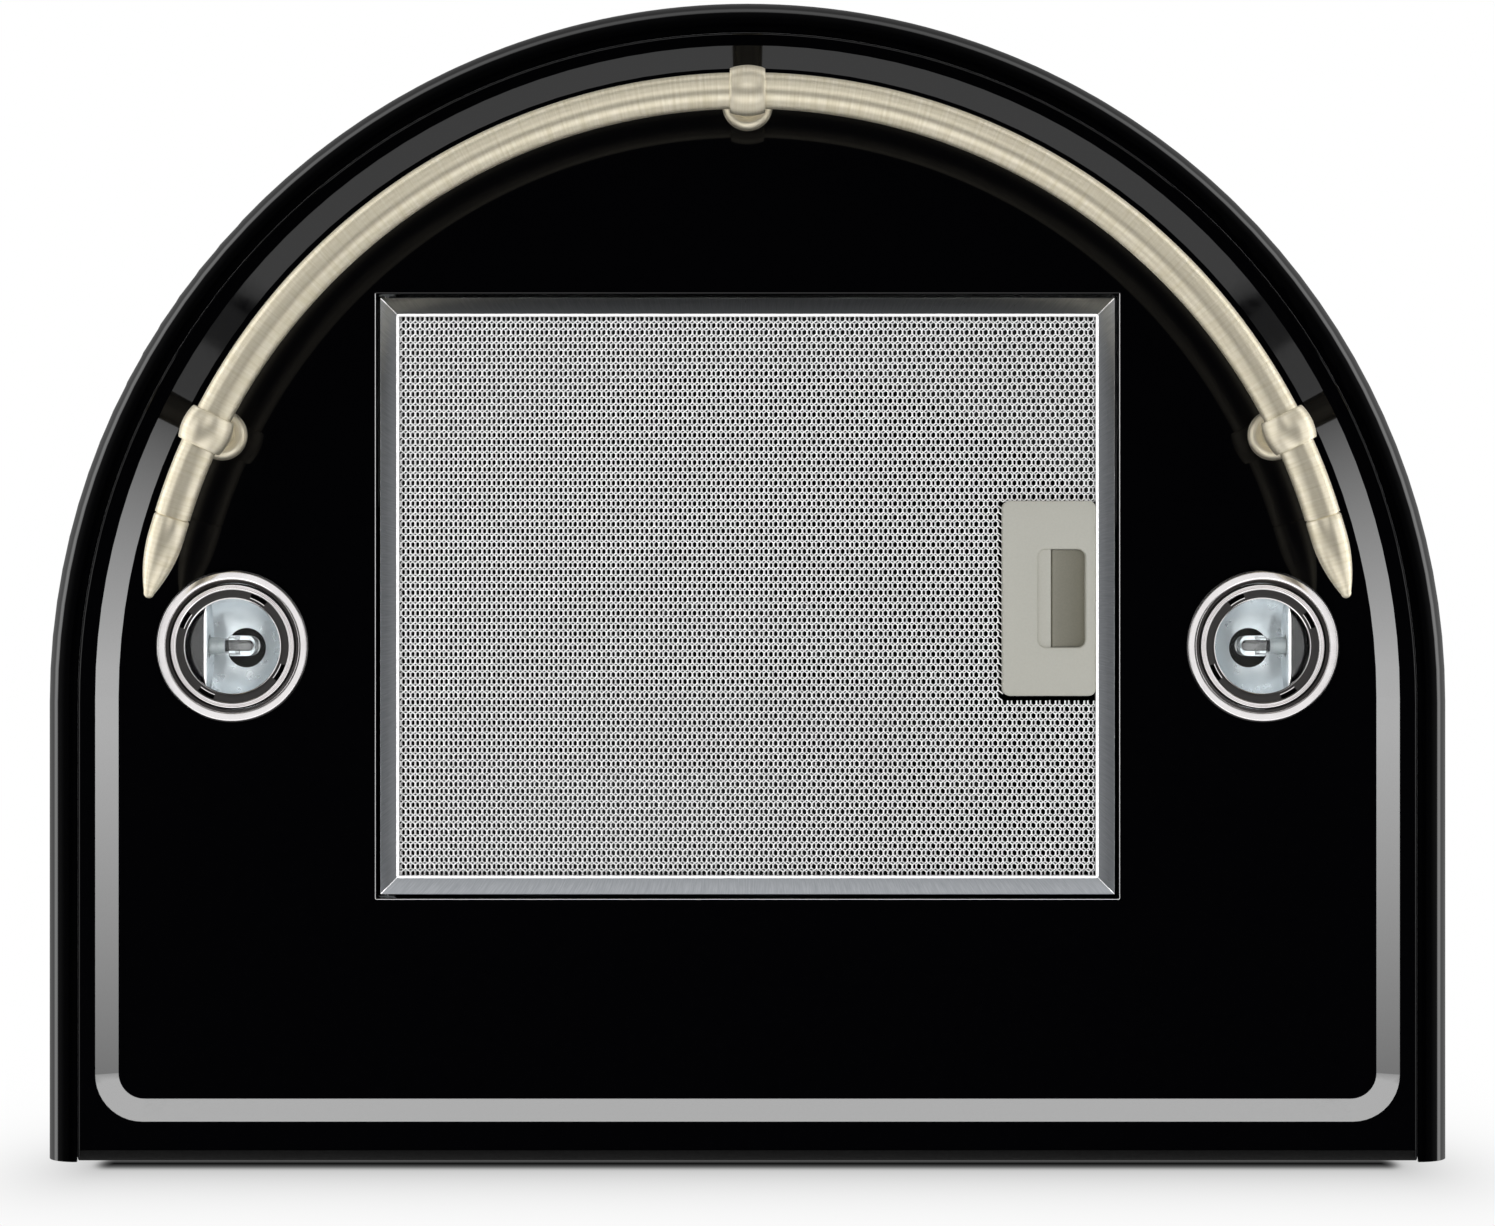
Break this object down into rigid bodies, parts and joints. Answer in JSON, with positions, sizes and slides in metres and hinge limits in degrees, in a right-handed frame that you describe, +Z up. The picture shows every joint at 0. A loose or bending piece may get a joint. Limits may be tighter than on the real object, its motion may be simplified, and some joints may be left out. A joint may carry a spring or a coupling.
{
  "type": "range hood",
  "caption": "Wall range hood with an arched plan, bell canopy, round-fronted chimney, grab rail under the rim, hinged grease filter, round lamps and a ducted blower.",
  "frame": {"origin": "midway between the two keyholes of the back plate, on the face that lies on the wall", "axes": "+X to the viewer's right, +Y into the wall, +Z up"},
  "size_m": [0.6, 0.501, 0.7148],
  "materials": {
    "enamel": "gloss black vitreous enamel",
    "galvanised": "galvanised sheet",
    "brass": "brushed pale brass",
    "aluminium": "satin",
    "chrome": "polished",
    "mirror": "bright",
    "glass": "clear",
    "black_plastic": "fine texture",
    "grey_plastic": "fine texture",
    "zinc_screw": "zinc plated",
    "ceramic": "unglazed ceramic",
    "steel": "turned",
    "motor_paint": "grey paint",
    "coil": "taped copper coil"
  },
  "bodies": {
    "root": {"canopy_shell": "enamel", "underside_panel": "enamel", "back_plate": "enamel", "chimney_lower": "enamel", "chimney_screws": "zinc_screw", "scroll_front": "galvanised", "scroll_back": "galvanised", "motor_body": "motor_paint", "motor_bracket": "galvanised", "blower_screws": "zinc_screw", "blower_mount_frame": "galvanised", "duct_collar": "black_plastic", "flap_pin": "steel", "transformer": "steel", "terminal_box": "black_plastic", "cable_gland": "black_plastic", "capacitor": "grey_plastic", "capacitor_clip": "galvanised", "control_bezel": "black_plastic", "switch_block": "black_plastic", "rail_tube": "brass", "rail_bracket_left": "brass", "rail_bracket_center": "brass", "rail_bracket_right": "brass", "rail_rosettes": "brass", "rail_screws": "zinc_screw", "rail_end_left": "brass", "rail_end_right": "brass", "filter_hinge_lugs": "galvanised", "lamp_shields": "enamel", "lamp_sockets": "ceramic", "lamp_housings": "galvanised", "lamp_trim_left": "chrome", "lamp_reflector_left": "mirror", "lamp_bulb_left": "glass", "lamp_trim_right": "chrome", "lamp_reflector_right": "mirror", "lamp_bulb_right": "glass"},
    "chimney_slide": {"chimney_upper": "enamel", "chimney_bracket": "galvanised"},
    "fan": {"impeller": "galvanised", "impeller_nut": "steel", "motor_shaft": "steel"},
    "left_flap": {"flap_left": "black_plastic"},
    "right_flap": {"flap_right": "black_plastic"},
    "filter": {"filter_frame": "aluminium", "filter_mesh_front": "aluminium", "filter_mesh_back": "aluminium", "filter_hinge_pins": "steel", "latch_plate": "grey_plastic"},
    "latch": {"latch_slider": "grey_plastic"},
    "left_lamp_cover": {"lamp_retainer_left": "black_plastic", "lamp_glass_left": "glass"},
    "right_lamp_cover": {"lamp_retainer_right": "black_plastic", "lamp_glass_right": "glass"},
    "button_light_body": {"button_light": "black_plastic"},
    "button_off_body": {"button_off": "black_plastic"},
    "button_low_body": {"button_low": "black_plastic"},
    "button_medium_body": {"button_medium": "black_plastic"},
    "button_high_body": {"button_high": "black_plastic"}
  },
  "joints": [
    {"name": "chimney_slide", "type": "slide", "parent": "root", "child": "chimney_slide", "axis": [0, 0, 1], "range_m": [0, 0.22]},
    {"name": "fan_spin", "type": "hinge", "parent": "root", "child": "fan", "pos_m": [-0.054, -0.115, -0.127], "axis": [0, 1, 0], "continuous": true},
    {"name": "left_flap_swing", "type": "hinge", "parent": "root", "child": "left_flap", "pos_m": [0, -0.115, 0.038], "axis": [0, 1, 0], "range_deg": [0, 80]},
    {"name": "right_flap_swing", "type": "hinge", "parent": "root", "child": "right_flap", "pos_m": [0, -0.115, 0.038], "axis": [0, -1, 0], "range_deg": [0, 80]},
    {"name": "filter_hinge", "type": "hinge", "parent": "root", "child": "filter", "pos_m": [-0.1546, -0.2413, -0.2544], "axis": [0, 1, 0], "range_deg": [0, 75]},
    {"name": "latch_slide", "type": "slide", "parent": "filter", "child": "latch", "axis": [1, 0, 0], "range_m": [0, 0.0033]},
    {"name": "left_lamp_twist", "type": "hinge", "parent": "root", "child": "left_lamp_cover", "pos_m": [-0.22025, -0.2198, -0.262], "axis": [0, 0, 1], "range_deg": [0, 20]},
    {"name": "right_lamp_twist", "type": "hinge", "parent": "root", "child": "right_lamp_cover", "pos_m": [0.22025, -0.2198, -0.262], "axis": [0, 0, 1], "range_deg": [0, 20]},
    {"name": "press_light", "type": "slide", "parent": "root", "child": "button_light_body", "axis": [0.1805, 0.9836, 0], "range_m": [0, 0.0035], "stiffness_N_per_m": 300},
    {"name": "press_off", "type": "slide", "parent": "root", "child": "button_off_body", "axis": [0.0906, 0.9959, 0], "range_m": [0, 0.0035], "stiffness_N_per_m": 300},
    {"name": "press_low", "type": "slide", "parent": "root", "child": "button_low_body", "axis": [0, 1, 0], "range_m": [0, 0.0035], "stiffness_N_per_m": 300},
    {"name": "press_medium", "type": "slide", "parent": "root", "child": "button_medium_body", "axis": [-0.0906, 0.9959, 0], "range_m": [0, 0.0035], "stiffness_N_per_m": 300},
    {"name": "press_high", "type": "slide", "parent": "root", "child": "button_high_body", "axis": [-0.1805, 0.9836, 0], "range_m": [0, 0.0035], "stiffness_N_per_m": 300}
  ]
}
